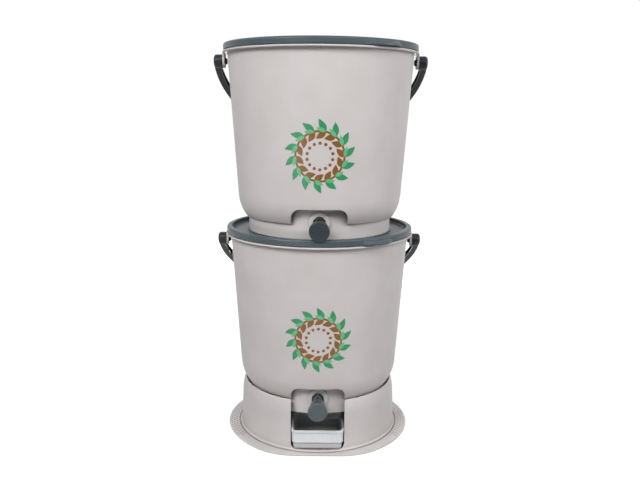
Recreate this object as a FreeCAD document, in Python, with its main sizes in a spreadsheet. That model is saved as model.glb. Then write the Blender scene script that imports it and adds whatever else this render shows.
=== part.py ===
"""Two stacked fermenting bins with taps on a pedestal with a drip cup, in millimetres.

+Z is up and -Y is the front. The origin is the middle of the pedestal's underside. The two bins are alike: each
piece of a bin is drawn above the ring that the bin stands on, and then lifted to its place in the stack.
"""
import FreeCAD
import Part
import Sketcher
import math
import os
import re

SIZES = {
    # bucket, with heights above the ring that it stands on
    "foot_radius": 116.5,
    "foot_height": 24.4,
    "foot_round": 1.2,
    "foot_step": 4.5,
    "floor_lift": 2.5,
    "floor_thickness": 2.5,
    "bucket_wall": 2.4,
    "shoulder_flare": 11.9,
    "shoulder_height": 56.0,
    "shoulder_curve": 64.0,
    "wall_flare": 13.8,
    "rim_height": 279.5,
    "rim_reach": 7.5,
    "rim_thickness": 3.0,
    "neck_step": 3.1,
    "neck_height": 6.6,
    "neck_wall": 2.2,
    # niche that holds the tap
    "niche_width": 85.2,
    "niche_headroom": 5.0,
    "niche_corner": 14.0,
    # ears that carry the handle
    "ear_gap": 4.6,
    "ear_thickness": 3.5,
    "ear_width": 20.0,
    "pivot_drop": 14.5,
    # lid
    "neck_gap": 1.0,
    "seat_gap": 1.2,
    "lid_wall": 2.2,
    "lid_roof": 2.6,
    "lid_edge": 3.0,
    "well_edge": 1.0,
    "well_corner": 1.5,
    "panel_height": 3.2,
    "ridge_gap": 0.6,
    "ridge_width": 2.4,
    "ridge_height": 1.4,
    "seal_thickness": 2.0,
    "seal_gap": 0.4,
    "tab_radius": 48.0,
    "tab_reach": 8.0,
    "tab_height": 7.0,
    "tab_lip": 2.6,
    "tab_slope": 3.0,
    "lower_tab_turn": 35.5,
    "upper_tab_turn": 38.5,
    # handle
    "side_gap": 0.4,
    "pin_radius": 4.2,
    "pin_gap": 0.05,
    "pin_head_radius": 5.6,
    "pin_head_length": 3.0,
    "pin_head_gap": 0.3,
    "hub_radius": 10.5,
    "hub_length": 13.6,
    "hub_wall": 2.4,
    "hub_recess": 6.0,
    "bail_length": 186.5,
    "bail_flatness": 27.5,
    "bail_depth": 9.0,
    "bail_width": 12.0,
    "bail_wall": 2.6,
    "bail_inset": 0.3,
    "bail_rest_gap": 0.5,
    # strainer
    "strainer_gap": 2.0,
    "strainer_lift": 0.6,
    "strainer_thickness": 2.5,
    "hole_radius": 3.5,
    "hole_ring_pitch": 36.0,
    "leg_radius": 6.0,
    "leg_wall": 1.8,
    "leg_circle": 90.0,
    # tap, with the knob hanging closed
    "boss_radius": 16.2,
    "boss_proud": 2.0,
    "boss_depth": 1.6,
    "sleeve_radius": 7.0,
    "sleeve_gap": 0.15,
    "sleeve_bore": 4.6,
    "sleeve_reach": 7.0,
    "tap_flange_radius": 13.5,
    "tap_flange_thickness": 3.0,
    "gasket_thickness": 2.0,
    "nut_radius": 9.8,
    "nut_thickness": 2.5,
    "nut_gap": 0.05,
    "nut_scallop": 1.6,
    "plug_gap": 0.05,
    "plug_drill": 2.0,
    "plug_head_radius": 5.4,
    "plug_head_length": 2.4,
    "plug_head_gap": 0.3,
    "port_radius": 1.8,
    "o_ring_section": 1.05,
    "o_ring_gap": 0.05,
    "knob_radius": 15.4,
    "knob_drop": 6.6,
    "knob_tip": 12.4,
    "knob_round": 1.6,
    "disc_thickness": 3.9,
    "disc_gap": 0.5,
    "neck_radius": 12.8,
    "grip_radius": 10.4,
    "eye_drop": 2.6,
    "eye_height": 4.2,
    "eye_width": 4.2,
    "pointer_edge": 0.6,
    "pointer_thickness": 3.5,
    "knob_gap": 0.4,
    "knob_clearance": 0.6,
    # pedestal
    "seat_height": 60.5,
    "base_wall": 2.4,
    "crest_rise": 1.3,
    "crest_gap": 3.6,
    "crest_inset": 4.0,
    "crest_height": 20.5,
    "crest_curve": 74.0,
    "pedestal_taper": 3.0,
    "flange_width": 22.5,
    "flange_thickness": 3.2,
    "flange_edge": 1.3,
    "flange_front_trim": 12.0,
    "flange_blend": 100.0,
    "cove": 3.0,
    "cove_step": 0.6,
    "crease_width": 2.2,
    "crease_depth": 1.6,
    "rib_reach": 16.5,
    "rib_thickness": 3.0,
    "rib_upstand": 5.0,
    "rib_foot_gap": 0.8,
    "window_sill": 4.6,
    "rail_rise": 0.4,
    "rail_width": 4.0,
    "rail_offset": 25.0,
    "rail_inset": 15.0,
    "stop_rise": 5.0,
    "stop_width": 3.0,
    "stop_gap": 0.3,
    # drip cup
    "cup_width": 84.4,
    "cup_length": 95.0,
    "cup_height": 34.0,
    "cup_wall": 1.8,
    "cup_foot_round": 5.5,
    "cup_foot_corner": 0.7,
    "cup_proud": 0.5,
    "cup_rest_gap": 0.1,
    "cup_side_gap": 0.8,
    "cup_lip": 0.9,
    "cup_lip_height": 4.0,
    "cup_step": 1.9,
    "cup_step_height": 13.0,
}

# Sizes that follow from those above, as expressions
SHOULDER_EDGE = "(foot_radius + foot_step)"
SHOULDER_RADIUS = f"({SHOULDER_EDGE} + shoulder_flare)"
MOUTH_RADIUS = f"({SHOULDER_RADIUS} + wall_flare)"
FOOT_INSIDE = "(foot_radius - bucket_wall)"
FLOOR_TOP = "(floor_lift + floor_thickness)"
RIM_RADIUS = f"({MOUTH_RADIUS} + rim_reach)"
RIM_UNDERSIDE = "(rim_height - rim_thickness)"
RIM_MIDDLE = "(rim_height - rim_thickness / 2)"
NECK_RADIUS = f"({MOUTH_RADIUS} + neck_step)"
NECK_INSIDE = f"({NECK_RADIUS} - neck_wall)"
NECK_TOP = "(rim_height + neck_height)"

SKIRT = "(rim_height + seat_gap)"
SKIRT_INSIDE = f"({NECK_RADIUS} + neck_gap)"
LID_RADIUS = f"({SKIRT_INSIDE} + lid_wall)"
WELL_OUTSIDE = f"({NECK_INSIDE} - neck_gap)"
WELL_INSIDE = f"({WELL_OUTSIDE} - lid_wall)"
PANEL = f"({SKIRT} + panel_height)"
ROOF = f"({NECK_TOP} + seal_thickness)"
LID_TOP = f"({ROOF} + lid_roof)"
RIDGE_INSIDE = "(foot_radius + ridge_gap)"
RIDGE_OUTSIDE = f"({RIDGE_INSIDE} + ridge_width)"
TAB_CENTRE = f"({LID_RADIUS} + tab_reach - tab_radius)"

PIVOT_HEIGHT = "(rim_height - pivot_drop)"
EAR_FACE = f"({MOUTH_RADIUS} + ear_gap)"
EAR_BACK = f"({EAR_FACE} + ear_thickness)"
HUB_FACE = f"({EAR_BACK} + side_gap)"
HUB_BACK = f"({HUB_FACE} + hub_length)"
HUB_ROUND = "(hub_radius - bail_width / 2)"
BAIL_HALF = f"({HUB_BACK} - bail_inset - bail_depth / 2)"
BAIL_SIDE_CURVE = "(bail_length + bail_flatness)"
BAIL_CROWN_CURVE = f"({BAIL_HALF} - (bail_length - {BAIL_HALF}) ^ 2 / (2 * bail_flatness))"

TAP_HEIGHT = f"({LID_TOP} - {PANEL} + knob_clearance + neck_radius + knob_drop)"
NICHE_TOP = f"({TAP_HEIGHT} + boss_radius + niche_headroom)"
BOSS_FACE = "(foot_radius + boss_proud)"
BOSS_BACK = f"({FOOT_INSIDE} - boss_depth)"
GASKET_BACK = f"({BOSS_BACK} - gasket_thickness)"
TAP_FLANGE_BACK = f"({GASKET_BACK} - tap_flange_thickness)"
NUT_FACE = f"({BOSS_FACE} + nut_thickness)"
SLEEVE_END = f"({NUT_FACE} + sleeve_reach)"
PORT_PLACE = f"({NUT_FACE} + sleeve_reach / 2)"
KNOB_BACK = f"({SLEEVE_END} + knob_gap)"
DISC_BACK = f"({LID_RADIUS} + disc_gap)"
DISC_FACE = f"({DISC_BACK} + disc_thickness)"
PLUG_RADIUS = "(sleeve_bore - plug_gap)"
POINTER_RADIUS = "(grip_radius + pointer_edge)"
GROOVE_RADIUS = f"({PLUG_RADIUS} - o_ring_section - o_ring_gap)"
GROOVE_PLACE = "(foot_radius - bucket_wall / 2)"
GROOVE_HALF = "(o_ring_section / 2 + o_ring_gap)"
PLUG_HEAD_FACE = f"({TAP_FLANGE_BACK} - plug_head_gap)"
PLUG_END = f"({PLUG_HEAD_FACE} - plug_head_length)"

STRAINER_BOTTOM = f"({NICHE_TOP} + bucket_wall + strainer_lift)"
STRAINER_RADIUS = f"({SHOULDER_RADIUS} - bucket_wall - strainer_gap)"

PEDESTAL_TOP = "(seat_height + foot_height + crest_rise)"
CREST_START = f"({PEDESTAL_TOP} - crest_height)"
CREST_INSIDE = f"({SHOULDER_EDGE} + crest_gap)"
CREST_RADIUS = f"({CREST_INSIDE} + base_wall)"
PEDESTAL_SHOULDER = f"({CREST_RADIUS} + crest_inset)"
PEDESTAL_FOOT = f"({PEDESTAL_SHOULDER} + pedestal_taper)"
FLANGE_RADIUS = f"({PEDESTAL_FOOT} + flange_width)"
FLANGE_FRONT = f"({FLANGE_RADIUS} - flange_front_trim)"
CUP_FRONT = f"({PEDESTAL_FOOT} + cup_proud)"
CUP_BACK = f"({CUP_FRONT} - cup_length)"
CUP_INSET = "(cup_lip + cup_step)"
CUP_CORNER = f"(cup_foot_round + cup_foot_corner + {CUP_INSET})"
CUP_REST = "(window_sill + rail_rise)"
WINDOW_HALF = "(cup_width / 2 + cup_side_gap)"
WINDOW_CORNER = f"(cup_foot_round + {CUP_INSET} + cup_side_gap)"

LOWER_LIFT = "seat_height"
UPPER_LIFT = f"(seat_height + {PANEL})"

FORWARD = FreeCAD.Rotation(FreeCAD.Vector(1, 0, 0), 90)
RIGHTWARD = FreeCAD.Rotation(FreeCAD.Vector(0, 1, 0), 90)
UPWARD = FreeCAD.Rotation()

doc = FreeCAD.newDocument("stacked_bins")
sheet = doc.addObject("Spreadsheet::Sheet", "Sizes")
for row, (size, value) in enumerate(SIZES.items(), 1):
    sheet.set(f"A{row}", size)
    sheet.set(f"B{row}", str(value))
    sheet.setAlias(f"B{row}", size)
doc.recompute()

sub_parts = {}


def formula(text):
    """The expression with each size pointed at its cell."""
    return re.sub(r"[a-z_]+", lambda word: f"Sizes.{word[0]}" if word[0] in SIZES else word[0], text)


def measure(text):
    return float(sheet.evalExpression(formula(text)))


def bind(thing, **sizes):
    for name, text in sizes.items():
        thing.setExpression(name, formula(text))
    return thing


def place(thing, x="0", y="0", z="0", turn=UPWARD):
    thing.Placement = FreeCAD.Placement(FreeCAD.Vector(), turn)
    for axis, text in zip("xyz", (x, y, z)):
        thing.setExpression(f"Placement.Base.{axis}", formula(text))
    return thing


def body(name):
    return doc.addObject("PartDesign::Body", name)


def new_sketch(owner, plane):
    sketch = owner.newObject("Sketcher::SketchObject", f"{owner.Name}_sketch")
    role = next(part for part in owner.Origin.OriginFeatures if part.Role == f"{plane}_Plane")
    sketch.AttachmentSupport = [(role, "")]
    sketch.MapMode = "FlatFace"
    return sketch


def constrain(sketch, text, kind, *where):
    index = sketch.addConstraint(Sketcher.Constraint(kind, *where, measure(text)))
    sketch.setExpression(f"Constraints[{index}]", formula(text))


def fix_point(sketch, edge, end, x, y):
    """Hold a point of the sketch at expressions for its coordinates."""
    for kind, axis, text in (("DistanceX", -2, x), ("DistanceY", -1, y)):
        if text == "0":
            sketch.addConstraint(Sketcher.Constraint("PointOnObject", edge, end, axis))
        else:
            constrain(sketch, text, kind, -1, 1, edge, end)


def draw(sketch, corners, closed=True):
    """Lines and arcs through the corners.

    A corner is (x, y). An arc that starts at it adds its radius, and the side that it bulges to.
    """
    points = [FreeCAD.Vector(measure(corner[0]), measure(corner[1]), 0) for corner in corners]
    count = len(corners) if closed else len(corners) - 1
    first, last = [], []
    for index in range(count):
        corner = corners[index]
        start, end = points[index], points[(index + 1) % len(points)]
        if len(corner) == 2:
            edge = Part.LineSegment(start, end)
        else:
            radius = measure(corner[2])
            chord = end - start
            side = FreeCAD.Vector(-chord.y, chord.x, 0).normalize() * (1 if corner[3] == "left" else -1)
            rise = radius - math.sqrt(radius ** 2 - chord.Length ** 2 / 4)
            edge = Part.ArcOfCircle(start, (start + end) / 2 + side * rise, end)
        sketch.addGeometry(edge)
        turned = len(corner) > 2 and corner[3] == "left"
        first.append(2 if turned else 1)
        last.append(1 if turned else 2)
    for index in range(count):
        following = (index + 1) % count
        if closed or following:
            sketch.addConstraint(Sketcher.Constraint("Coincident", index, last[index], following, first[following]))
        fix_point(sketch, index, first[index], *corners[index][:2])
        if len(corners[index]) > 2:
            constrain(sketch, corners[index][2], "Radius", index)
    if not closed:
        fix_point(sketch, count - 1, last[-1], *corners[-1][:2])
    return sketch


def outline(owner, plane, *corners):
    return draw(new_sketch(owner, plane), corners)


def rectangle(x_low, x_high, y_low, y_high):
    return (x_low, y_low), (x_high, y_low), (x_high, y_high), (x_low, y_high)


def rounded_rectangle(half_width, y_low, y_high, radius):
    """A rectangle about the Y axis with four round corners."""
    return (
        (f"{radius} - {half_width}", y_low),
        (f"{half_width} - {radius}", y_low, radius, "right"),
        (half_width, f"{y_low} + {radius}"),
        (half_width, f"{y_high} - {radius}", radius, "right"),
        (f"{half_width} - {radius}", y_high),
        (f"{radius} - {half_width}", y_high, radius, "right"),
        (f"-{half_width}", f"{y_high} - {radius}"),
        (f"-{half_width}", f"{y_low} + {radius}", radius, "right"),
    )


def circles(owner, plane, *places):
    """A sketch of circles, each given as (x, y, radius)."""
    sketch = new_sketch(owner, plane)
    for x, y, radius in places:
        middle = FreeCAD.Vector(measure(x), measure(y), 0)
        edge = sketch.addGeometry(Part.Circle(middle, FreeCAD.Vector(0, 0, 1), measure(radius)))
        fix_point(sketch, edge, 3, x, y)
        constrain(sketch, radius, "Radius", edge)
    return sketch


def feature(owner, kind, sketch):
    made = owner.newObject(f"PartDesign::{kind}", f"{owner.Name}_{kind.lower()}")
    made.Profile = sketch
    return made


def revolve(owner, sketch, axis="V_Axis", kind="Revolution"):
    turned = feature(owner, kind, sketch)
    turned.ReferenceAxis = (sketch, [axis])
    turned.Angle = 360
    return turned


def pad(owner, sketch, length, sides="One side"):
    raised = feature(owner, "Pad", sketch)
    raised.SideType = sides
    return bind(raised, Length=length)


def pocket(owner, sketch, length=None, along_normal=True):
    """Cut the sketch out, all the way through unless a length is given, and make sure that it cuts."""
    doc.recompute()
    before = owner.Shape.Volume
    cut_out = feature(owner, "Pocket", sketch)
    cut_out.Reversed = along_normal
    if length:
        bind(cut_out, Length=length)
    else:
        cut_out.Type = "ThroughAll"
    doc.recompute()
    if owner.Shape.Volume > before - 1e-6:
        raise RuntimeError(f"{cut_out.Name} removes nothing")
    return cut_out


def round_edges(owner, names, radius):
    before = owner.Tip
    rounding = owner.newObject("PartDesign::Fillet", f"{owner.Name}_rounding")
    rounding.Base = (before, names)
    return bind(rounding, Radius=radius)


def repeat_round(owner, original, sketch, axis, count, angle=360):
    pattern = owner.newObject("PartDesign::PolarPattern", f"{owner.Name}_ring")
    pattern.Originals = [original]
    pattern.Axis = (sketch, [axis])
    pattern.Angle = angle
    pattern.Occurrences = count
    owner.Tip = pattern
    return pattern


def cylinder(name, radius, height):
    return bind(doc.addObject("Part::Cylinder", name), Radius=radius, Height=height)


def fuse(name, *pieces):
    joined = doc.addObject("Part::MultiFuse", name)
    joined.Shapes = list(pieces)
    return joined


def cut(name, base, *tools):
    cut_out = doc.addObject("Part::Cut", name)
    cut_out.Base = base
    cut_out.Tool = tools[0] if len(tools) == 1 else fuse(f"{name}_tools", *tools)
    return cut_out


def keep(node, thing):
    """Count the object as a finished sub-part under its own label."""
    thing.Label = node
    sub_parts[node] = thing


def niche_prism(name, allowance):
    """The niche's arch run out to the front, wider and higher by an allowance."""
    half = f"(niche_width / 2 + {allowance})"
    top = f"({NICHE_TOP} + {allowance})"
    corner = f"(niche_corner + {allowance})"
    prism = body(name)
    arch = outline(
        prism, "XZ",
        (f"-{half}", f"-{top}"),
        (half, f"-{top}"),
        (half, f"{top} - {corner}", corner, "right"),
        (f"{half} - {corner}", top),
        (f"{corner} - {half}", top, corner, "right"),
        (f"-{half}", f"{top} - {corner}"))
    pad(prism, arch, RIM_RADIUS)
    core = cylinder(f"{name}_core", f"foot_radius - {allowance}", f"3 * {top}")
    place(core, z=f"-{top}")
    return cut(f"{name}_ahead_of_foot", prism, core)


def make_bucket(bin_name, lift):
    node = f"{bin_name}_bucket"
    outside = body(f"{node}_outside")
    revolve(outside, outline(
        outside, "XZ",
        ("0", "floor_lift"),
        (FOOT_INSIDE, "floor_lift"),
        (FOOT_INSIDE, "0"),
        ("foot_radius - foot_round", "0", "foot_round", "right"),
        ("foot_radius", "foot_round"),
        ("foot_radius", "foot_height"),
        (SHOULDER_EDGE, "foot_height", "shoulder_curve", "right"),
        (SHOULDER_RADIUS, "shoulder_height"),
        (MOUTH_RADIUS, RIM_UNDERSIDE),
        (f"{RIM_RADIUS} - rim_thickness / 2", RIM_UNDERSIDE, "rim_thickness / 2", "right"),
        (RIM_RADIUS, RIM_MIDDLE, "rim_thickness / 2", "right"),
        (f"{RIM_RADIUS} - rim_thickness / 2", "rim_height"),
        (NECK_RADIUS, "rim_height"),
        (NECK_RADIUS, NECK_TOP),
        ("0", NECK_TOP)))
    cavity = body(f"{node}_cavity")
    revolve(cavity, outline(
        cavity, "XZ",
        ("0", FLOOR_TOP),
        (FOOT_INSIDE, FLOOR_TOP),
        (FOOT_INSIDE, "foot_height + bucket_wall"),
        (f"{SHOULDER_EDGE} - bucket_wall", "foot_height + bucket_wall", "shoulder_curve - bucket_wall", "right"),
        (f"{SHOULDER_RADIUS} - bucket_wall", "shoulder_height"),
        (f"{MOUTH_RADIUS} - bucket_wall", RIM_UNDERSIDE),
        (NECK_INSIDE, "rim_height"),
        (NECK_INSIDE, f"{NECK_TOP} + neck_height"),
        ("0", f"{NECK_TOP} + neck_height")))
    skin = cut(f"{node}_skin", outside, niche_prism(f"{node}_niche", "0"))
    hollow = cut(f"{node}_hollow", cavity, niche_prism(f"{node}_niche_lining", "bucket_wall"))
    shell = cut(f"{node}_shell", skin, hollow)

    boss = cylinder(f"{node}_boss", "boss_radius", f"{BOSS_FACE} - {BOSS_BACK}")
    place(boss, y=f"-{BOSS_BACK}", z=TAP_HEIGHT, turn=FORWARD)
    tap_hole = cylinder(f"{node}_tap_hole", "sleeve_radius + sleeve_gap", f"{NUT_FACE} - {GASKET_BACK}")
    place(tap_hole, y=f"-{GASKET_BACK}", z=TAP_HEIGHT, turn=FORWARD)
    raised, holes = [shell, boss], [tap_hole]
    for side, ear_place, hole_place in (
            ("right", EAR_FACE, f"{EAR_FACE} - ear_thickness"),
            ("left", f"-{EAR_BACK}", f"-{EAR_BACK} - ear_thickness")):
        ear = body(f"{node}_{side}_ear")
        pad(ear, outline(
            ear, "YZ",
            ("-ear_width / 2", PIVOT_HEIGHT, "ear_width / 2", "right"),
            ("0", f"{PIVOT_HEIGHT} - ear_width / 2", "ear_width / 2", "right"),
            ("ear_width / 2", PIVOT_HEIGHT),
            ("ear_width / 2", RIM_MIDDLE),
            ("-ear_width / 2", RIM_MIDDLE)), "ear_thickness")
        raised.append(place(ear, x=ear_place))
        hole = cylinder(f"{node}_{side}_ear_hole", "pin_radius + pin_gap", "3 * ear_thickness")
        holes.append(place(hole, x=hole_place, z=PIVOT_HEIGHT, turn=RIGHTWARD))
    bucket = cut(node, fuse(f"{node}_raised", *raised), *holes)
    keep(node, place(bucket, z=lift))


def make_lid(bin_name, lift):
    node = f"{bin_name}_lid"
    disc = body(f"{node}_disc")
    revolve(disc, outline(
        disc, "XZ",
        ("0", f"{PANEL} - lid_wall"),
        (WELL_OUTSIDE, f"{PANEL} - lid_wall"),
        (WELL_OUTSIDE, ROOF),
        (SKIRT_INSIDE, ROOF),
        (SKIRT_INSIDE, SKIRT),
        (LID_RADIUS, SKIRT),
        (LID_RADIUS, f"{LID_TOP} - lid_edge", "lid_edge", "right"),
        (f"{LID_RADIUS} - lid_edge", LID_TOP),
        (f"{WELL_INSIDE} + well_edge", LID_TOP, "well_edge", "right"),
        (WELL_INSIDE, f"{LID_TOP} - well_edge"),
        (WELL_INSIDE, f"{PANEL} + well_corner", "well_corner", "left"),
        (f"{WELL_INSIDE} - well_corner", PANEL),
        (RIDGE_OUTSIDE, PANEL),
        (RIDGE_OUTSIDE, f"{PANEL} + ridge_height"),
        (RIDGE_INSIDE, f"{PANEL} + ridge_height"),
        (RIDGE_INSIDE, PANEL),
        ("0", PANEL)))

    # The pull tab is a shallow cap that stands out past the skirt, hollow underneath for the fingertips.
    turn = f"{bin_name}_tab_turn"
    tab_place = {"x": f"{TAB_CENTRE} * sin({turn})", "y": f"-{TAB_CENTRE} * cos({turn})"}
    cap = place(body(f"{node}_tab_cap"), **tab_place)
    revolve(cap, outline(
        cap, "XZ",
        ("0", SKIRT),
        ("tab_radius", SKIRT),
        ("tab_radius", f"{SKIRT} + tab_lip"),
        ("tab_radius - tab_slope", f"{SKIRT} + tab_height"),
        ("0", f"{SKIRT} + tab_height")))
    finger_space = place(body(f"{node}_finger_space"), **tab_place)
    revolve(finger_space, outline(
        finger_space, "XZ",
        ("0", f"{SKIRT} - tab_height"),
        ("tab_radius - lid_wall", f"{SKIRT} - tab_height"),
        ("tab_radius - lid_wall", f"{SKIRT} + tab_lip"),
        ("tab_radius - tab_slope - lid_wall", f"{SKIRT} + tab_height - lid_wall"),
        ("0", f"{SKIRT} + tab_height - lid_wall")))
    inside = cylinder(f"{node}_inside", f"{LID_RADIUS} - lid_wall / 2", f"3 * {NECK_TOP}")
    tab = cut(f"{node}_tab", cap, finger_space, inside)
    keep(node, place(fuse(node, disc, tab), z=lift))

    seal = body(f"{bin_name}_lid_seal")
    revolve(seal, outline(seal, "XZ", *rectangle(
        f"{WELL_OUTSIDE} + seal_gap", f"{SKIRT_INSIDE} - seal_gap", NECK_TOP, ROOF)))
    keep(f"{bin_name}_lid_seal", place(seal, z=lift))


def make_handle(bin_name, lift):
    """A bail of channel section with a hub and a snap-in pin at each end, resting against the back wall."""
    node = f"{bin_name}_handle"
    bail = body(f"{node}_bail")
    # Two side arcs with their middles on the pivot line meet a crown arc where the three middles line up.
    crown_rise = f"({BAIL_CROWN_CURVE} - bail_length)"
    side_shift = f"({BAIL_SIDE_CURVE} - {BAIL_HALF})"
    share = f"({BAIL_CROWN_CURVE} / ({BAIL_SIDE_CURVE} - {BAIL_CROWN_CURVE}))"
    meet_x = f"({side_shift} * {share})"
    meet_z = f"({crown_rise} + {crown_rise} * {share})"
    path = draw(new_sketch(bail, "XZ"), (
        (BAIL_HALF, "0", BAIL_SIDE_CURVE, "left"),
        (meet_x, meet_z, BAIL_CROWN_CURVE, "left"),
        ("0", "-bail_length", BAIL_CROWN_CURVE, "left"),
        (f"-{meet_x}", meet_z, BAIL_SIDE_CURVE, "left"),
        (f"-{BAIL_HALF}", "0")), closed=False)
    outer, inner = f"{BAIL_HALF} + bail_depth / 2", f"{BAIL_HALF} - bail_depth / 2"
    channel = outline(
        bail, "XY",
        (inner, "-bail_width / 2"),
        (outer, "-bail_width / 2"),
        (outer, "bail_width / 2"),
        (inner, "bail_width / 2"),
        (inner, "bail_width / 2 - bail_wall"),
        (f"{outer} - bail_wall", "bail_width / 2 - bail_wall"),
        (f"{outer} - bail_wall", "bail_wall - bail_width / 2"),
        (inner, "bail_wall - bail_width / 2"))
    pipe = feature(bail, "AdditivePipe", channel)
    pipe.Spine = (path, [f"Edge{number}" for number in range(1, 5)])

    hubs = []
    head = f"({EAR_FACE} - pin_head_gap)"
    for side, turn in (("right", 0), ("left", 180)):
        hub = body(f"{node}_{side}_hub")
        revolve(hub, outline(
            hub, "XY",
            (f"{head} - pin_head_length", "0"),
            (HUB_BACK, "0"),
            (HUB_BACK, f"hub_radius - {HUB_ROUND}", HUB_ROUND, "right"),
            (f"{HUB_BACK} - {HUB_ROUND}", "hub_radius"),
            (HUB_FACE, "hub_radius"),
            (HUB_FACE, "hub_radius - hub_wall"),
            (f"{HUB_FACE} + hub_recess", "hub_radius - hub_wall"),
            (f"{HUB_FACE} + hub_recess", "pin_radius"),
            (head, "pin_radius"),
            (head, "pin_head_radius"),
            (f"{head} - pin_head_length", "pin_radius")), "H_Axis")
        hubs.append(place(hub, turn=FreeCAD.Rotation(FreeCAD.Vector(0, 0, 1), turn)))
    handle = place(fuse(node, bail, *hubs), z=f"{lift} + {PIVOT_HEIGHT}",
                   turn=FreeCAD.Rotation(FreeCAD.Vector(1, 0, 0), 45))
    # The crown's lower inner edge comes to rest on the sloping wall.
    slope = f"(wall_flare / ({RIM_UNDERSIDE} - shoulder_height))"
    crown_in = "(bail_length - bail_depth / 2)"
    along = f"({crown_in} + {slope} * bail_width / 2)"
    across = f"({slope} * {crown_in} - bail_width / 2)"
    wall = f"({MOUTH_RADIUS} - {slope} * ({RIM_UNDERSIDE} - {PIVOT_HEIGHT}) + bail_rest_gap)"
    hang = f"(atan2({across}; {along}) + acos({wall} / sqrt({along} ^ 2 + {across} ^ 2)))"
    handle.setExpression("Placement.Rotation.Angle", formula(f"90 deg - {hang}"))
    keep(node, handle)


def make_strainer(bin_name, lift):
    node = f"{bin_name}_strainer"
    strainer = body(node)
    pad(strainer, circles(strainer, "XY", ("0", "0", STRAINER_RADIUS)), "strainer_thickness")
    leg_place = "leg_circle * sqrt(0.5)"
    leg_sketch = circles(strainer, "XY", (leg_place, leg_place, "leg_radius"),
                         (leg_place, leg_place, "leg_radius - leg_wall"))
    leg = pad(strainer, leg_sketch, f"{STRAINER_BOTTOM} - {FLOOR_TOP}")
    leg.Reversed = True
    repeat_round(strainer, leg, leg_sketch, "N_Axis", 4)
    pocket(strainer, circles(strainer, "XY", ("0", "0", "hole_radius")))
    for ring in (1, 2, 3):
        hole_sketch = circles(strainer, "XY", (f"{ring} * hole_ring_pitch", "0", "hole_radius"))
        hole = pocket(strainer, hole_sketch)
        repeat_round(strainer, hole, hole_sketch, "N_Axis", 6 * ring)
    keep(node, place(strainer, z=f"{lift} + {STRAINER_BOTTOM}"))


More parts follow.
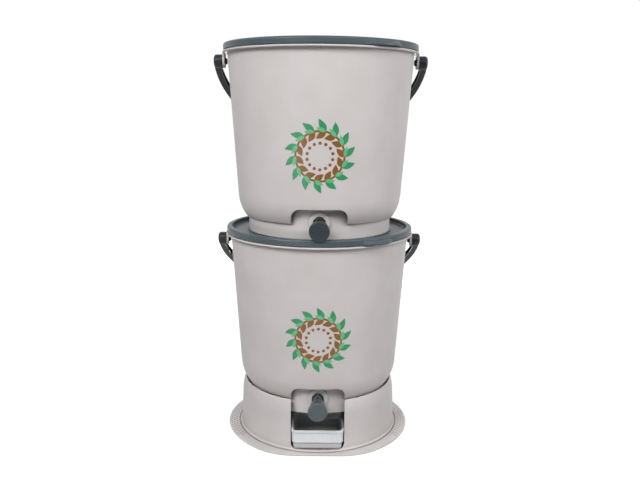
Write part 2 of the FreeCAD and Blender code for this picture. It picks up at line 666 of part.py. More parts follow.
def make_tap(bin_name, lift):
    """A quarter-turn tap. In its own frame X is right, Y is up and Z runs forward from the bin's axis."""
    tap_place = {"z": f"{lift} + {TAP_HEIGHT}", "turn": FORWARD}

    node = f"{bin_name}_tap_body"
    spigot = body(node)
    revolve(spigot, outline(
        spigot, "XZ",
        ("sleeve_bore", TAP_FLANGE_BACK),
        ("tap_flange_radius", TAP_FLANGE_BACK),
        ("tap_flange_radius", GASKET_BACK),
        ("sleeve_radius", GASKET_BACK),
        ("sleeve_radius", SLEEVE_END),
        ("sleeve_bore", SLEEVE_END)))
    # The outlet in the sleeve points down.
    pocket(spigot, circles(spigot, "XZ", ("0", PORT_PLACE, "port_radius")))
    keep(node, place(spigot, **tap_place))

    node = f"{bin_name}_tap_gasket"
    gasket = body(node)
    revolve(gasket, outline(gasket, "XZ", *rectangle(
        "sleeve_radius + sleeve_gap", "tap_flange_radius", GASKET_BACK, BOSS_BACK)))
    keep(node, place(gasket, **tap_place))

    node = f"{bin_name}_tap_nut"
    nut = body(node)
    revolve(nut, outline(nut, "XZ", *rectangle("sleeve_radius + nut_gap", "nut_radius", BOSS_FACE, NUT_FACE)))
    scallop_sketch = circles(nut, "XY", ("0", "nut_radius + nut_scallop / 2", "nut_scallop"))
    scallop = pocket(nut, scallop_sketch)
    repeat_round(nut, scallop, scallop_sketch, "N_Axis", 8)
    keep(node, place(nut, **tap_place))

    node = f"{bin_name}_tap_knob"
    # The pointer is a plate with straight flanks from its tip and an eye. The grip widens forward, and the disc on
    # its end hangs down in front of the rim of the lid below.
    pointer = place(body(f"{node}_pointer"), z=KNOB_BACK)
    lean = f"asin({POINTER_RADIUS} / (knob_tip + knob_drop))"
    touch_x = f"({POINTER_RADIUS} * cos({lean}))"
    touch_y = f"({POINTER_RADIUS} * sin({lean}) - knob_drop)"
    pad(pointer, outline(
        pointer, "XY",
        ("0", "knob_tip"),
        (f"-{touch_x}", touch_y, POINTER_RADIUS, "right"),
        ("0", f"-knob_drop - {POINTER_RADIUS}", POINTER_RADIUS, "right"),
        (touch_x, touch_y)), "pointer_thickness")
    pocket(pointer, outline(
        pointer, "XY",
        ("0", "knob_tip - eye_drop"),
        ("-eye_width / 2", "knob_tip - eye_drop - eye_height"),
        ("eye_width / 2", "knob_tip - eye_drop - eye_height")))
    grip = place(body(f"{node}_grip"), y="-knob_drop")
    revolve(grip, outline(
        grip, "XZ",
        ("0", f"{KNOB_BACK} + pointer_thickness / 3"),
        ("grip_radius", f"{KNOB_BACK} + pointer_thickness / 3"),
        ("neck_radius", DISC_BACK),
        ("knob_radius", DISC_BACK),
        ("knob_radius", f"{DISC_FACE} - knob_round", "knob_round", "right"),
        ("knob_radius - knob_round", DISC_FACE),
        ("0", DISC_FACE)))
    plug = body(f"{node}_plug")
    revolve(plug, outline(
        plug, "XZ",
        ("plug_drill", PLUG_END),
        (PLUG_RADIUS, PLUG_END),
        ("plug_head_radius", PLUG_HEAD_FACE),
        (PLUG_RADIUS, PLUG_HEAD_FACE),
        (PLUG_RADIUS, f"{GROOVE_PLACE} - {GROOVE_HALF}"),
        (GROOVE_RADIUS, f"{GROOVE_PLACE} - {GROOVE_HALF}"),
        (GROOVE_RADIUS, f"{GROOVE_PLACE} + {GROOVE_HALF}"),
        (PLUG_RADIUS, f"{GROOVE_PLACE} + {GROOVE_HALF}"),
        (PLUG_RADIUS, f"{KNOB_BACK} + pointer_thickness / 2"),
        ("0", f"{KNOB_BACK} + pointer_thickness / 2"),
        ("0", f"{PORT_PLACE} + port_radius"),
        ("plug_drill", f"{PORT_PLACE} + port_radius")))
    # The plug's side port faces right while the tap is closed and comes round to the outlet as it opens.
    port = cylinder(f"{node}_port", "port_radius", "2 * sleeve_bore")
    place(port, z=PORT_PLACE, turn=RIGHTWARD)
    knob = cut(node, fuse(f"{node}_solid", pointer, grip, plug), port)
    keep(node, place(knob, **tap_place))

    node = f"{bin_name}_tap_o_ring"
    o_ring = doc.addObject("Part::Torus", node)
    bind(o_ring, Radius1=f"{PLUG_RADIUS} - o_ring_section / 2", Radius2="o_ring_section / 2")
    keep(node, place(o_ring, y=f"-{GROOVE_PLACE}", **tap_place))


def make_base():
    base = body("base_stand")
    revolve(base, outline(
        base, "XZ",
        ("0", "0"),
        (f"{PEDESTAL_FOOT} + cove", "0"),
        (f"{PEDESTAL_FOOT} + cove", "flange_thickness + cove_step", "cove", "left"),
        (PEDESTAL_FOOT, "flange_thickness + cove_step + cove"),
        (PEDESTAL_SHOULDER, CREST_START, "crest_curve", "right"),
        (CREST_RADIUS, f"{PEDESTAL_TOP} - base_wall / 2", "base_wall / 2", "right"),
        (f"{CREST_RADIUS} - base_wall / 2", PEDESTAL_TOP, "base_wall / 2", "right"),
        (CREST_INSIDE, f"{PEDESTAL_TOP} - base_wall / 2", "crest_curve - base_wall", "left"),
        (f"{PEDESTAL_SHOULDER} - base_wall", CREST_START),
        (f"{PEDESTAL_FOOT} - base_wall", "flange_thickness"),
        ("0", "flange_thickness")))

    # The flange is round but trimmed straight across the front, with a wide blend at both ends of the straight.
    straight = f"sqrt(({FLANGE_RADIUS} - flange_blend) ^ 2 - ({FLANGE_FRONT} - flange_blend) ^ 2)"
    stretch = f"({FLANGE_RADIUS} / ({FLANGE_RADIUS} - flange_blend))"
    blend_x = f"({straight} * {stretch})"
    blend_y = f"(({FLANGE_FRONT} - flange_blend) * {stretch})"
    pad(base, outline(
        base, "XY",
        (f"-{straight}", f"-{FLANGE_FRONT}"),
        (straight, f"-{FLANGE_FRONT}", "flange_blend", "right"),
        (blend_x, f"-{blend_y}", FLANGE_RADIUS, "right"),
        ("0", FLANGE_RADIUS, FLANGE_RADIUS, "right"),
        (f"-{blend_x}", f"-{blend_y}", "flange_blend", "right")), "flange_thickness")
    doc.recompute()
    reach = measure(f"{PEDESTAL_FOOT} + cove") + 1
    edges = [f"Edge{number}" for number, edge in enumerate(base.Shape.Edges, 1)
             if min(math.hypot(point.x, point.y) for point in edge.discretize(5)) > reach
             and edge.BoundBox.ZLength < 0.01]
    round_edges(base, edges, "flange_edge")

    # A narrow groove sets the pedestal's foot off from the flange.
    revolve(base, outline(base, "XZ", *rectangle(
        f"{PEDESTAL_FOOT} + cove", f"{PEDESTAL_FOOT} + cove + crease_width",
        "flange_thickness - crease_depth", "flange_thickness + cove_step")), kind="Groove")

    # Ribs at every eighth of a turn but the front carry the lower bin and keep its foot in the middle.
    rib_sketch = new_sketch(base, "XZ")
    rib_sketch.AttachmentOffset = FreeCAD.Placement(
        FreeCAD.Vector(), FreeCAD.Rotation(FreeCAD.Vector(0, 1, 0), -45))
    draw(rib_sketch, (
        ("foot_radius - rib_reach", "flange_thickness / 2"),
        (f"{PEDESTAL_FOOT} - base_wall / 2", "flange_thickness / 2"),
        (f"{PEDESTAL_SHOULDER} - base_wall / 2", "seat_height + rib_upstand"),
        ("foot_radius + rib_foot_gap", "seat_height + rib_upstand"),
        ("foot_radius + rib_foot_gap", "seat_height"),
        ("foot_radius - rib_reach", "seat_height")))
    rib = pad(base, rib_sketch, "rib_thickness", "Symmetric")
    repeat_round(base, rib, rib_sketch, "V_Axis", 7, 270)

    window = outline(
        base, "XZ",
        (f"-{WINDOW_HALF}", f"window_sill + {WINDOW_CORNER}", WINDOW_CORNER, "right"),
        (f"{WINDOW_CORNER} - {WINDOW_HALF}", "window_sill"),
        (f"{WINDOW_HALF} - {WINDOW_CORNER}", "window_sill", WINDOW_CORNER, "right"),
        (WINDOW_HALF, f"window_sill + {WINDOW_CORNER}"),
        (WINDOW_HALF, f"2 * {PEDESTAL_TOP}"),
        (f"-{WINDOW_HALF}", f"2 * {PEDESTAL_TOP}"))
    pocket(base, window, FLANGE_RADIUS)

    # Two rails and a stop hold the drip cup.
    rail_low, rail_high = "(rail_offset - rail_width / 2)", "(rail_offset + rail_width / 2)"
    rail_front, rail_back = f"rail_inset - {CUP_FRONT}", f"-{CUP_BACK} - rail_inset"
    for x_low, x_high in ((rail_low, rail_high), (f"-{rail_high}", f"-{rail_low}")):
        rail = outline(base, "XY", *rectangle(x_low, x_high, rail_front, rail_back))
        pad(base, rail, f"{CUP_REST} - cup_rest_gap")
    pad(base, outline(base, "XY", *rectangle(
        f"-{rail_high}", rail_high, f"stop_gap - {CUP_BACK}", f"stop_gap + stop_width - {CUP_BACK}")),
        f"{CUP_REST} + stop_rise")
    keep("base_stand", base)


def cup_block(name, thickness, *steps):
    """Blocks with the cup's plan on top of each other, the lowest with round edges underneath.

    Each step is (inset, bottom): how far it is drawn in from the lip, and where it starts. The thickness is how
    far inside the cup's surface the blocks lie.
    """
    block = body(name)
    for inset, bottom in steps:
        drawn_in = f"({inset} + {thickness})"
        plan = outline(block, "XY", *rounded_rectangle(
            f"(cup_width / 2 - {drawn_in})", f"({drawn_in} - {CUP_FRONT})", f"(-{CUP_BACK} - {drawn_in})",
            f"({CUP_CORNER} - {drawn_in})"))
        plan.setExpression("AttachmentOffset.Base.z", formula(f"{bottom} + {thickness}"))
        pad(block, plan, f"cup_height - ({bottom})")
        if bottom == "0":
            doc.recompute()
            faces = block.Shape.Faces
            under = min(range(len(faces)), key=lambda number: faces[number].CenterOfMass.z)
            round_edges(block, [f"Face{under + 1}"], f"cup_foot_round - {thickness}")
    return block


def make_cup():
    """A thin-walled cup that steps out to a band above its rounded lower part and ends in a lip."""
    lower_part, band, lip = (CUP_INSET, "0"), ("cup_lip", "cup_step_height"), ("0", "cup_height - cup_lip_height")
    outside = cup_block("drip_cup_outside", "0", lower_part, band, lip)
    cavity = cup_block("drip_cup_cavity", "cup_wall", lower_part, band)
    keep("drip_cup", place(cut("drip_cup", outside, cavity), z=CUP_REST))


make_base()
make_cup()
for bin_name, lift in (("lower", LOWER_LIFT), ("upper", UPPER_LIFT)):
    make_bucket(bin_name, lift)
    make_lid(bin_name, lift)
    make_handle(bin_name, lift)
    make_strainer(bin_name, lift)
    make_tap(bin_name, lift)
doc.recompute()

for thing in doc.Objects:
    if {"Invalid", "Error"} & set(thing.State):
        raise RuntimeError(f"{thing.Name} failed: {thing.State}")
for node, thing in sub_parts.items():
    shape = thing.Shape
    if shape.isNull() or not shape.isValid() or len(shape.Solids) != 1:
        raise RuntimeError(f"{node} isn't one valid solid")

os.makedirs("parts", exist_ok=True)
for node, thing in sub_parts.items():
    thing.Shape.exportStep(f"parts/{node}.step")
    print(f"{node}: {thing.Shape.Volume / 1000:.1f} cm3")
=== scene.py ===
"""Dresses the two stacked fermenting bins and their pedestal, and looks at them from the front.

Lengths are in metres in the frame's own axes: +Z is up and -Y is the front.
"""
import math

import bmesh
import bpy
from mathutils import Euler, Matrix, Vector


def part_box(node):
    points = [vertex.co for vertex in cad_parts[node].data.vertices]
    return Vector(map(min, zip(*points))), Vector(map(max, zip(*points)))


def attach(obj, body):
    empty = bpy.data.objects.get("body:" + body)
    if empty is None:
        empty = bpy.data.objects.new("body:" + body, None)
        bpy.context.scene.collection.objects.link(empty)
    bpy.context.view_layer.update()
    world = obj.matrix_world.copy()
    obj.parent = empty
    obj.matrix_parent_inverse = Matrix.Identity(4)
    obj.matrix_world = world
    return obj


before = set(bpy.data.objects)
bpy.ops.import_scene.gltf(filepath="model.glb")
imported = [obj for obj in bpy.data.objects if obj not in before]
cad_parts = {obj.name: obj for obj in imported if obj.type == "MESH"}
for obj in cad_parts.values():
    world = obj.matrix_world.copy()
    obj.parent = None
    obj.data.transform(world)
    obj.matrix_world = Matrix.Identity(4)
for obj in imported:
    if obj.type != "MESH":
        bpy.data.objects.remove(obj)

MM = 0.001
FULL_TURN = 2 * math.pi
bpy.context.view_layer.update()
BINS = ("lower", "upper")
PRINT_HEIGHTS = {"lower": 0.192, "upper": 0.471}
STACK_MIDDLE = Vector((0, 0, 0.36))

# Sockets of a Mix node, picked by number because several of them share a name
SHARE, FIRST_VALUE, SECOND_VALUE = 0, 2, 3
FIRST_COLOUR, SECOND_COLOUR, MIXED_COLOUR = 6, 7, 2


# Materials

def linear(hex_colour):
    """An sRGB hex colour as linear red, green, blue and alpha."""
    shares = [int(hex_colour[place:place + 2], 16) / 255 for place in (1, 3, 5)]
    colour = [share / 12.92 if share <= 0.04045 else ((share + 0.055) / 1.055) ** 2.4 for share in shares]
    return colour + [1.0]


def add(tree, kind, inputs=None, **settings):
    """Add a node with its settings. An input is a value, or another node's output to link."""
    node = tree.nodes.new(f"ShaderNode{kind}")
    for name, value in settings.items():
        setattr(node, name, value)
    for socket, value in (inputs or {}).items():
        if isinstance(value, bpy.types.NodeSocket):
            tree.links.new(value, node.inputs[socket])
        else:
            node.inputs[socket].default_value = value
    return node


def start_material(name):
    """An empty material with its node tree and the piece's own coordinates."""
    material = bpy.data.materials.new(name)
    material.use_nodes = True
    tree = material.node_tree
    tree.nodes.clear()
    return material, tree, add(tree, "TexCoord").outputs["Object"]


def moulded_polypropylene(name, shade, shadow_shade, edge_round, rough,
                          crease_size=10 * MM, painted_crease_shade=0.55):
    """Injection-moulded polypropylene from a spark-eroded mould.

    To the eye it is satin and even, with faint cloudy flow marks and a very fine grain. Its narrow creases,
    within crease_size, are darkened with painted shade, which leaves the share of its colour given for the
    creases there.
    The real grain is about 0.3 mm. It is drawn at 1.4 mm so that it still shows.
    """
    material, tree, place = start_material(name)
    flow_size, grain_size, grain_depth = 70 * MM, 1.4 * MM, 0.05 * MM
    flow = add(tree, "TexNoise", {
        "Vector": place, "Scale": 1 / flow_size, "Detail": 3.0, "Roughness": 0.55})
    grain = add(tree, "TexNoise", {
        "Vector": place, "Scale": 1 / grain_size, "Detail": 2.0, "Roughness": 0.6})
    cloud = add(tree, "MapRange", {
        "Value": flow.outputs["Fac"], "From Min": 0.35, "From Max": 0.7, "To Min": 0.0, "To Max": 0.8})
    speck = add(tree, "MapRange", {
        "Value": grain.outputs["Fac"], "From Min": 0.3, "From Max": 0.7, "To Min": -0.12, "To Max": 0.12})
    share = add(tree, "Math", {0: cloud.outputs[0], 1: speck.outputs[0]}, operation="ADD", use_clamp=True)
    clean = add(tree, "Mix", {
        SHARE: share.outputs[0], FIRST_COLOUR: linear(shade), SECOND_COLOUR: linear(shadow_shade)},
        data_type="RGBA")
    # Painted shade: the colour darkens where the piece's own shape closes in within crease_size.
    open_share = add(tree, "AmbientOcclusion", {"Distance": crease_size}, samples=8, only_local=True)
    painted_crease_shading = add(tree, "MapRange", {
        "Value": open_share.outputs["AO"], "From Min": 0.35, "From Max": 0.8,
        "To Min": painted_crease_shade, "To Max": 1.0})
    colour = add(tree, "VectorMath", {
        0: clean.outputs[MIXED_COLOUR], "Scale": painted_crease_shading.outputs[0]}, operation="SCALE")
    polish = add(tree, "MapRange", {
        "Value": grain.outputs["Fac"], "From Min": 0.3, "From Max": 0.7,
        "To Min": rough - 0.05, "To Max": rough + 0.07})
    rounded = add(tree, "Bevel", {"Radius": edge_round}, samples=6)
    bump = add(tree, "Bump", {
        "Strength": 0.35, "Distance": grain_depth, "Height": grain.outputs["Fac"],
        "Normal": rounded.outputs[0]})
    plastic = add(tree, "BsdfPrincipled", {
        "Base Color": colour.outputs[0], "Roughness": polish.outputs[0], "Normal": bump.outputs[0],
        "IOR": 1.49, "Specular IOR Level": 0.3})
    add(tree, "OutputMaterial", {"Surface": plastic.outputs[0]})
    return material


def acetal(name, shade, worn_shade):
    """Moulded acetal, as taps and their knobs are made of.

    It is dense and slightly waxy, with a coarser grain on the grip than on the bins, rubbed a little paler in
    small patches. The real grain of 0.4 mm is drawn at 1.2 mm so that it still shows.
    """
    material, tree, place = start_material(name)
    rub_size, grain_size, grain_depth, edge_round = 9 * MM, 1.2 * MM, 0.08 * MM, 0.6 * MM
    rub = add(tree, "TexNoise", {"Vector": place, "Scale": 1 / rub_size, "Detail": 4.0, "Roughness": 0.6})
    grain = add(tree, "TexVoronoi", {"Vector": place, "Scale": 1 / grain_size}, feature="SMOOTH_F1")
    worn = add(tree, "MapRange", {
        "Value": rub.outputs["Fac"], "From Min": 0.5, "From Max": 0.75, "To Min": 0.0, "To Max": 0.7})
    colour = add(tree, "Mix", {
        SHARE: worn.outputs[0], FIRST_COLOUR: linear(shade), SECOND_COLOUR: linear(worn_shade)},
        data_type="RGBA")
    polish = add(tree, "MapRange", {
        "Value": rub.outputs["Fac"], "From Min": 0.3, "From Max": 0.7, "To Min": 0.38, "To Max": 0.28})
    rounded = add(tree, "Bevel", {"Radius": edge_round}, samples=6)
    bump = add(tree, "Bump", {
        "Strength": 0.4, "Distance": grain_depth, "Height": grain.outputs["Distance"],
        "Normal": rounded.outputs[0]})
    plastic = add(tree, "BsdfPrincipled", {
        "Base Color": colour.outputs[MIXED_COLOUR], "Roughness": polish.outputs[0],
        "Normal": bump.outputs[0], "IOR": 1.48})
    add(tree, "OutputMaterial", {"Surface": plastic.outputs[0]})
    return material


def glossy_styrene(name, shade, under_band_painted_shade, haze_shade, band_height):
    """Moulded styrene for the cup: glossy, with the slight ripple of a polished mould and a little haze.

    It is pale on the lip and the band below it, and greyer under the band, which is painted shade.
    """
    material, tree, place = start_material(name)
    ripple_size, ripple_depth, haze_size = 14 * MM, 0.06 * MM, 5 * MM
    fade, edge_round = 1 * MM, 0.8 * MM
    ripple = add(tree, "TexNoise", {"Vector": place, "Scale": 1 / ripple_size, "Detail": 1.0})
    haze = add(tree, "TexNoise", {"Vector": place, "Scale": 1 / haze_size, "Detail": 4.0, "Roughness": 0.65})
    height = add(tree, "SeparateXYZ", {0: place}).outputs["Z"]
    # Painted shade: the wall turns greyer below band_height.
    low = add(tree, "MapRange", {
        "Value": height, "From Min": band_height - fade, "From Max": band_height + fade,
        "To Min": 1.0, "To Max": 0.0})
    wall = add(tree, "Mix", {
        SHARE: low.outputs[0], FIRST_COLOUR: linear(shade), SECOND_COLOUR: linear(under_band_painted_shade)},
        data_type="RGBA")
    dull = add(tree, "MapRange", {
        "Value": haze.outputs["Fac"], "From Min": 0.35, "From Max": 0.7, "To Min": 0.0, "To Max": 0.12})
    colour = add(tree, "Mix", {
        SHARE: dull.outputs[0], FIRST_COLOUR: wall.outputs[MIXED_COLOUR], SECOND_COLOUR: linear(haze_shade)},
        data_type="RGBA")
    polish = add(tree, "MapRange", {
        "Value": haze.outputs["Fac"], "From Min": 0.3, "From Max": 0.7, "To Min": 0.18, "To Max": 0.3})
    rounded = add(tree, "Bevel", {"Radius": edge_round}, samples=6)
    bump = add(tree, "Bump", {
        "Strength": 0.3, "Distance": ripple_depth, "Height": ripple.outputs["Fac"],
        "Normal": rounded.outputs[0]})
    plastic = add(tree, "BsdfPrincipled", {
        "Base Color": colour.outputs[MIXED_COLOUR], "Roughness": polish.outputs[0],
        "Normal": bump.outputs[0], "IOR": 1.57})
    add(tree, "OutputMaterial", {"Surface": plastic.outputs[0]})
    return material


def nitrile_rubber(name, shade, bloom_shade):
    """Moulded nitrile rubber for the seals: matt, near black, with a bloom of paler dust."""
    material, tree, place = start_material(name)
    bloom_size, grain_size, grain_depth = 6 * MM, 0.8 * MM, 0.05 * MM
    bloom = add(tree, "TexNoise", {"Vector": place, "Scale": 1 / bloom_size, "Detail": 5.0, "Roughness": 0.7})
    grain = add(tree, "TexNoise", {"Vector": place, "Scale": 1 / grain_size, "Detail": 2.0})
    dust = add(tree, "MapRange", {
        "Value": bloom.outputs["Fac"], "From Min": 0.45, "From Max": 0.75, "To Min": 0.0, "To Max": 0.6})
    colour = add(tree, "Mix", {
        SHARE: dust.outputs[0], FIRST_COLOUR: linear(shade), SECOND_COLOUR: linear(bloom_shade)},
        data_type="RGBA")
    polish = add(tree, "MapRange", {"Value": bloom.outputs["Fac"], "To Min": 0.6, "To Max": 0.85})
    bump = add(tree, "Bump", {"Strength": 0.3, "Distance": grain_depth, "Height": grain.outputs["Fac"]})
    rubber = add(tree, "BsdfPrincipled", {
        "Base Color": colour.outputs[MIXED_COLOUR], "Roughness": polish.outputs[0],
        "Normal": bump.outputs[0], "IOR": 1.52})
    add(tree, "OutputMaterial", {"Surface": rubber.outputs[0]})
    return material


def screen_ink(name, shade, thin_shade):
    """Screen-printed ink: a thin, slightly glossy film, denser where more went through the mesh.

    The mesh is drawn with threads 0.9 mm apart, coarser than real ones, so that it still shows.
    """
    material, tree, place = start_material(name)
    density_size, mesh_pitch, mesh_depth = 8 * MM, 0.9 * MM, 0.02 * MM
    density = add(tree, "TexNoise", {"Vector": place, "Scale": 1 / density_size, "Detail": 3.0})
    mesh = add(tree, "TexVoronoi", {"Vector": place, "Scale": 1 / mesh_pitch, "Randomness": 0.3})
    thin = add(tree, "MapRange", {
        "Value": density.outputs["Fac"], "From Min": 0.4, "From Max": 0.75, "To Min": 0.0, "To Max": 0.8})
    colour = add(tree, "Mix", {
        SHARE: thin.outputs[0], FIRST_COLOUR: linear(shade), SECOND_COLOUR: linear(thin_shade)},
        data_type="RGBA")
    polish = add(tree, "MapRange", {"Value": mesh.outputs["Distance"], "To Min": 0.3, "To Max": 0.45})
    bump = add(tree, "Bump", {"Strength": 0.15, "Distance": mesh_depth, "Height": mesh.outputs["Distance"]})
    ink = add(tree, "BsdfPrincipled", {
        "Base Color": colour.outputs[MIXED_COLOUR], "Roughness": polish.outputs[0],
        "Normal": bump.outputs[0], "IOR": 1.5})
    add(tree, "OutputMaterial", {"Surface": ink.outputs[0]})
    return material


def studio_paper(name, shade, fibre_shade):
    """Matt paper, lit from behind so that it looks white all over and still takes the object's shadow."""
    material, tree, place = start_material(name)
    fibre_size, glow_start, glow_full = 30 * MM, 0.3, 1.2
    fibre = add(tree, "TexNoise", {"Vector": place, "Scale": 1 / fibre_size, "Detail": 3.0})
    tint = add(tree, "Mix", {
        SHARE: fibre.outputs["Fac"], FIRST_COLOUR: linear(shade), SECOND_COLOUR: linear(fibre_shade)},
        data_type="RGBA")
    paper = add(tree, "BsdfDiffuse", {"Color": tint.outputs[MIXED_COLOUR]})
    path = add(tree, "LightPath")
    direct = add(tree, "Math", {
        0: path.outputs["Is Camera Ray"], 1: path.outputs["Is Glossy Ray"]}, operation="ADD")
    seen = add(tree, "Math", {
        0: direct.outputs[0], 1: path.outputs["Is Transmission Ray"]}, operation="ADD", use_clamp=True)
    reach = add(tree, "VectorMath", {0: place}, operation="LENGTH")
    level = add(tree, "MapRange", {
        "Value": reach.outputs["Value"], "From Min": glow_start, "From Max": glow_full,
        "To Min": 0.84, "To Max": 1.0})
    strength = add(tree, "Math", {0: seen.outputs[0], 1: level.outputs[0]}, operation="MULTIPLY")
    glow = add(tree, "Emission", {"Color": linear("#FFFFFF"), "Strength": strength.outputs[0]})
    lit_paper = add(tree, "AddShader", {0: paper.outputs[0], 1: glow.outputs[0]})
    add(tree, "OutputMaterial", {"Surface": lit_paper.outputs[0]})
    return material


def dress(node, material):
    """Give a CAD node its material."""
    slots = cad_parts[node].data.materials
    slots.clear()
    slots.append(material)


def dress_pedestal(bin_plastic):
    """Give the pedestal the bins' plastic, and its cup a paler one with a band under the lip."""
    band_above_foot = 13 * MM
    band_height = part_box("drip_cup")[0].z + band_above_foot
    # The cup's greyer colour under its band is painted shade.
    dress("drip_cup", glossy_styrene("moulded_styrene_pale", "#E0E3E6", "#BDBEBE", "#8F9396", band_height))
    dress("base_stand", bin_plastic)


def dress_bins(bin_plastic, tap_plastics):
    """Give every piece of both bins its material."""
    # The lids take deeper painted shade in their creases.
    lid_plastic = moulded_polypropylene(
        "moulded_polypropylene_slate", "#4B575C", "#434F54", edge_round=1.0 * MM, rough=0.36,
        crease_size=12 * MM, painted_crease_shade=0.3)
    handle_plastic = moulded_polypropylene(
        "moulded_polypropylene_charcoal", "#252B30", "#1E2328", edge_round=1.0 * MM, rough=0.4)
    strainer_plastic = moulded_polypropylene(
        "moulded_polypropylene_natural", "#B9B3AD", "#AAA49E", edge_round=0.6 * MM, rough=0.5)
    nut_plastic = acetal("moulded_acetal_black", "#24272A", "#34383B")
    rubber = nitrile_rubber("nitrile_rubber_black", "#1D1E1F", "#3B3C3C")
    for name in BINS:
        dress(f"{name}_bucket", bin_plastic)
        dress(f"{name}_lid", lid_plastic)
        dress(f"{name}_handle", handle_plastic)
        dress(f"{name}_strainer", strainer_plastic)
        dress(f"{name}_tap_body", tap_plastics[name])
        dress(f"{name}_tap_knob", tap_plastics[name])
        dress(f"{name}_tap_nut", nut_plastic)
        for seal in ("lid_seal", "tap_gasket", "tap_o_ring"):
            dress(f"{name}_{seal}", rubber)


# New pieces

def make_piece(name, mesh_maker, body, materials):
    """Turn the shape that mesh_maker fills into a piece that rides on a body."""
    shape = bmesh.new()
    mesh_maker(shape)
    mesh = bpy.data.meshes.new(name)
    shape.to_mesh(mesh)
    shape.free()
    for material in materials:
        mesh.materials.append(material)
    piece = bpy.data.objects.new(name, mesh)
    bpy.context.scene.collection.objects.link(piece)
    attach(piece, body)
    return piece


def make_knob_rings(shape, knob):
    """Two fine raised rings on the round face of a tap's knob."""
    ring_radii, ring_width, ring_rise, sunk = (7.6 * MM, 12.4 * MM), 1.0 * MM, 0.4 * MM, 0.1 * MM
    ring_steps = 64
    low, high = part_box(knob)
    face_radius = (high.x - low.x) / 2
    middle = Vector(((low.x + high.x) / 2, low.y, low.z + face_radius))
    for radius in ring_radii:
        corners = [(radius + side * ring_width / 2, rise) for side, rise in
                   ((-1, sunk), (1, sunk), (1, -ring_rise), (-1, -ring_rise))]
        profile = [shape.verts.new(middle + Vector((across, along, 0))) for across, along in corners]
        edges = [shape.edges.new((profile[place - 1], profile[place])) for place in range(len(profile))]
        bmesh.ops.spin(shape, geom=profile + edges, cent=middle, axis=(0, 1, 0), angle=FULL_TURN,
                       steps=ring_steps, use_merge=True)
    bmesh.ops.recalc_face_normals(shape, faces=shape.faces)


def make_tap_trim(tap_plastics):
    """The rings on both knobs, in the knob's own plastic."""
    for name in BINS:
        make_piece(f"{name}_knob_rings", lambda shape: make_knob_rings(shape, f"{name}_tap_knob"),
                   f"{name}_tap", [tap_plastics[name]])


def make_tread(shape):
    """Three rows of small studs on the pedestal's flange, but for its front.

    Its lengths are in millimetres and its turns in degrees.
    """
    row_radii, flange_top = (143.2, 147.8, 152.4), 3.2
    stud_length, stud_width, stud_height = 3.4, 2.8, 0.6
    row_turn, plain_front = 3.0, 60.0
    count = int((360 - 2 * plain_front) / row_turn)
    for row, radius in enumerate(row_radii):
        stud = bmesh.ops.create_cube(shape, size=1.0)["verts"]
        bmesh.ops.scale(shape, vec=Vector((stud_width, stud_length, stud_height)) * MM, verts=stud)
        bmesh.ops.translate(shape, vec=Vector((0, -radius, flange_top)) * MM, verts=stud)
        first = math.radians(plain_front + row_turn / 2 * (row % 2))
        bmesh.ops.rotate(shape, cent=(0, 0, 0), matrix=Matrix.Rotation(first, 3, "Z"), verts=stud)
        faces = {face for vert in stud for face in vert.link_faces}
        edges = {edge for face in faces for edge in face.edges}
        bmesh.ops.spin(shape, geom=stud + list(edges) + list(faces), cent=(0, 0, 0), axis=(0, 0, 1),
                       angle=math.radians(count * row_turn), steps=count, use_duplicate=True)
    bmesh.ops.recalc_face_normals(shape, faces=shape.faces)


def colour_faces(verts, ink):
    """Give the faces round some points one of the print's inks."""
    for face in {face for vert in verts for face in vert.link_faces}:
        face.material_index = ink


def make_leaf(shape, length, width, foot, turn, ink):
    """A flat pointed leaf in the plane of the print, from its foot on, widest a little before its middle."""
    fullness, tip_join = 0.8, 0.02 * MM
    leaf = bmesh.ops.create_grid(shape, x_segments=10, y_segments=4, size=0.5)["verts"]
    for vert in leaf:
        along = vert.co.x + 0.5
        vert.co.y *= math.sin(math.pi * along ** fullness)
    bmesh.ops.scale(shape, vec=(length, width, 1), verts=leaf)
    bmesh.ops.translate(shape, vec=(length / 2, 0, 0), verts=leaf)
    bmesh.ops.rotate(shape, cent=(0, 0, 0), matrix=Matrix.Rotation(turn, 3, "Z"), verts=leaf)
    bmesh.ops.translate(shape, vec=foot, verts=leaf)
    colour_faces(leaf, ink)
    bmesh.ops.remove_doubles(shape, verts=leaf, dist=tip_join)


def make_berry(shape, radius, middle, ink):
    """A round dot in the plane of the print."""
    berry = bmesh.ops.create_circle(shape, cap_ends=True, cap_tris=True, segments=14, radius=radius)["verts"]
    bmesh.ops.translate(shape, vec=middle, verts=berry)
    colour_faces(berry, ink)


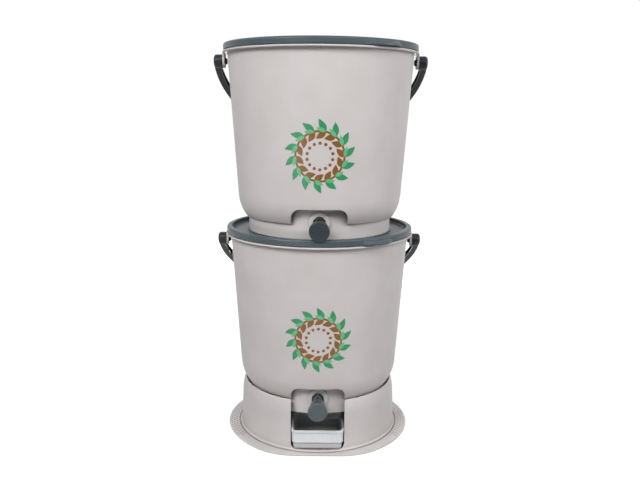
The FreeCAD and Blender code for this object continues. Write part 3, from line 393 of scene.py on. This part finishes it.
def make_wreath(shape):
    """A ring of twigs with green leaves outside and brown leaves and berries inside.

    It is drawn flat about its middle, and each ink lies on top of the ones pressed before it.
    """
    dark_green, pale_green, brown = range(3)
    ring_radius, twig_width, sprays, ring_steps = 36 * MM, 3.0 * MM, 14, 96
    berry_radius, berry_inset = 2.4 * MM, 17 * MM
    film = Vector((0, 0, 0.07 * MM))
    # Length, width, lean from the ring in degrees, and ink, in the order of pressing
    leaves = (
        (17 * MM, 9.0 * MM, 48, brown),
        (21 * MM, 9.5 * MM, -48, dark_green),
        (15 * MM, 6.0 * MM, -12, pale_green),
    )
    start = [shape.verts.new((ring_radius + side * twig_width / 2, 0, 0)) for side in (-1, 1)]
    bmesh.ops.spin(shape, geom=start + [shape.edges.new(start)], cent=(0, 0, 0), axis=(0, 0, 1),
                   angle=FULL_TURN, steps=ring_steps, use_merge=True)
    for face in shape.faces:
        face.material_index = brown
    for spray in range(sprays):
        turn = FULL_TURN * spray / sprays
        foot = Vector((math.cos(turn), math.sin(turn), 0)) * ring_radius
        ahead = turn + math.pi / 2
        for layer, (length, width, lean, ink) in enumerate(leaves, start=1):
            make_leaf(shape, length, width, foot + layer * film, ahead + math.radians(lean), ink)
        between = turn + math.pi / sprays
        middle = Vector((math.cos(between), math.sin(between), 0)) * (ring_radius - berry_inset)
        make_berry(shape, berry_radius, middle, brown)


def wrap_on_wall(shape, bucket, height, proud):
    """Bend a flat drawing round the bucket's front wall at a height, standing proud of it like a film."""
    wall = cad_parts[bucket]
    low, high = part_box(bucket)
    far = (high - low).length
    front_radius = -wall.ray_cast(Vector((0, -far, height)), Vector((0, 1, 0)))[1].y
    for vert in shape.verts:
        turn = vert.co.x / front_radius
        level = height + vert.co.y
        outward = Vector((math.sin(turn), -math.cos(turn), 0))
        start = outward * far + Vector((0, 0, level))
        _, place, normal, _ = wall.ray_cast(start, -outward)
        vert.co = place + normal * (proud + vert.co.z)
    bmesh.ops.recalc_face_normals(shape, faces=shape.faces)
    inward = [face for face in shape.faces if face.normal.y > 0]
    bmesh.ops.reverse_faces(shape, faces=inward)


def make_print(shape, name):
    """A wreath on the front wall of one bin."""
    print_gap = 0.15 * MM
    make_wreath(shape)
    wrap_on_wall(shape, f"{name}_bucket", PRINT_HEIGHTS[name], print_gap)


def make_prints():
    """The printed film on both bins."""
    inks = (screen_ink("screen_ink_leaf_green", "#2C8A57", "#3A9865"),
            screen_ink("screen_ink_pale_green", "#5FAE7E", "#72BA8E"),
            screen_ink("screen_ink_brown", "#80531E", "#90632E"))
    for name in BINS:
        wreath = make_piece(f"{name}_wreath_print", lambda shape: make_print(shape, name),
                            f"{name}_bin", inks)
        film = wreath.modifiers.new("film", "SOLIDIFY")
        film.thickness = 0.25 * MM
        film.offset = -1.0


# Stage, light and camera

def make_floor():
    """A sheet of paper that runs far back and to the sides, and ends a little ahead of the object."""
    half_width, front, back = 6.0, -0.9, 6.0
    shape = bmesh.new()
    sheet = bmesh.ops.create_grid(shape, x_segments=1, y_segments=1, size=0.5)["verts"]
    bmesh.ops.scale(shape, vec=(2 * half_width, back - front, 1), verts=sheet)
    bmesh.ops.translate(shape, vec=(0, (front + back) / 2, 0), verts=sheet)
    mesh = bpy.data.meshes.new("studio_floor")
    shape.to_mesh(mesh)
    shape.free()
    mesh.materials.append(studio_paper("studio_paper_white", "#8A8A8A", "#909090"))
    floor = bpy.data.objects.new("studio_floor", mesh)
    bpy.context.scene.collection.objects.link(floor)


def make_world():
    """A studio that is pale behind and above and darker in front, seen as plain white."""
    world = bpy.data.worlds.new("studio")
    world.use_nodes = True
    bpy.context.scene.world = world
    tree = world.node_tree
    tree.nodes.clear()
    back_share, up_share, middle, darkest, lighting_share = 0.7, 0.5, 0.55, 0.1, 0.2
    around = add(tree, "TexCoord").outputs["Generated"]
    heading = add(tree, "VectorMath", {0: around, 1: (0, back_share, up_share)}, operation="DOT_PRODUCT")
    pale = add(tree, "MapRange", {
        "Value": heading.outputs["Value"], "From Min": darkest - middle, "From Max": 1 - middle,
        "To Min": darkest, "To Max": 1.0})
    path = add(tree, "LightPath")
    level = add(tree, "Mix", {
        SHARE: path.outputs["Is Glossy Ray"], FIRST_VALUE: lighting_share, SECOND_VALUE: 1.0})
    studio = add(tree, "Math", {0: pale.outputs[0], 1: level.outputs[0]}, operation="MULTIPLY")
    seen = add(tree, "Math", {0: path.outputs["Is Camera Ray"], 1: path.outputs["Is Transmission Ray"]},
               operation="ADD", use_clamp=True)
    strength = add(tree, "Mix", {SHARE: seen.outputs[0], FIRST_VALUE: studio.outputs[0], SECOND_VALUE: 1.0})
    light = add(tree, "Background", {"Color": linear("#FFFFFF"), "Strength": strength.outputs[0]})
    add(tree, "OutputWorld", {"Surface": light.outputs[0]})


def add_softbox(name, place, width, height, power):
    """A soft rectangular lamp that is aimed at the middle of the stack."""
    lamp = bpy.data.lights.new(name, "AREA")
    lamp.shape = "RECTANGLE"
    lamp.size = width
    lamp.size_y = height
    lamp.energy = power
    softbox = bpy.data.objects.new(name, lamp)
    softbox.location = place
    softbox.rotation_euler = (STACK_MIDDLE - Vector(place)).to_track_quat("-Z", "Y").to_euler()
    bpy.context.scene.collection.objects.link(softbox)


def add_lamps():
    """Two high lamps in front, one at the right side, a low one at the front left, and one behind."""
    add_softbox("key_softbox", (-0.9, -1.4, 1.6), width=0.8, height=0.8, power=30)
    add_softbox("fill_softbox", (0.9, -1.4, 1.6), width=0.8, height=0.8, power=13)
    add_softbox("right_softbox", (1.8, -0.6, 0.9), width=0.8, height=0.8, power=15)
    add_softbox("low_softbox", (-0.75, -1.45, 0.12), width=0.8, height=0.2, power=4)
    add_softbox("back_softbox", (0, 1.75, 0.23), width=0.9, height=0.3, power=18)


def add_camera():
    """The camera stands in front of the stack, a little above its middle, and looks down at it."""
    image_width, image_height, focal_pixels, axis_row = 640, 492, 689.6, 280.0
    place = (0.0, -1.1437, 0.5376)
    downward, sideways, roll = math.radians(13.93), math.radians(-0.10), math.radians(0.54)
    camera = bpy.data.cameras.new("camera")
    camera.sensor_width = 36.0
    camera.lens = focal_pixels / image_width * camera.sensor_width
    camera.shift_y = (axis_row - image_height / 2) / image_width
    view = bpy.data.objects.new("camera", camera)
    view.location = place
    look = Euler((math.pi / 2 - downward, 0, sideways)).to_matrix()
    view.rotation_euler = (look @ Matrix.Rotation(roll, 3, "Z")).to_euler()
    bpy.context.scene.collection.objects.link(view)
    bpy.context.scene.camera = view


# The bins take painted shade in hollows up to 18 mm across, such as the tap niches.
bin_plastic = moulded_polypropylene(
    "moulded_polypropylene_taupe", "#CCC7C6", "#C3BDBC", edge_round=1.3 * MM, rough=0.5, crease_size=18 * MM)
# The tread's studs are a darker taupe, painted shade that stands for shadowed recesses.
tread_painted_shade_plastic = moulded_polypropylene(
    "moulded_polypropylene_taupe_painted_shade", "#A29B98", "#989190", edge_round=0.2 * MM, rough=0.6)
# One acetal for both taps, lighter on the lower knob and darker on the upper: painted light and painted
# shade.
tap_plastics = {"lower": acetal("moulded_acetal_painted_light_slate", "#4E575C", "#586166"),
                "upper": acetal("moulded_acetal_painted_shade_slate", "#30383C", "#394145")}
dress_pedestal(bin_plastic)
dress_bins(bin_plastic, tap_plastics)
make_tap_trim(tap_plastics)
# The studs carry the darker taupe, which is painted shade.
make_piece("base_tread", make_tread, "base", [tread_painted_shade_plastic])
make_prints()
make_floor()
make_world()
add_lamps()
add_camera()
bpy.context.scene.view_settings.view_transform = "Standard"
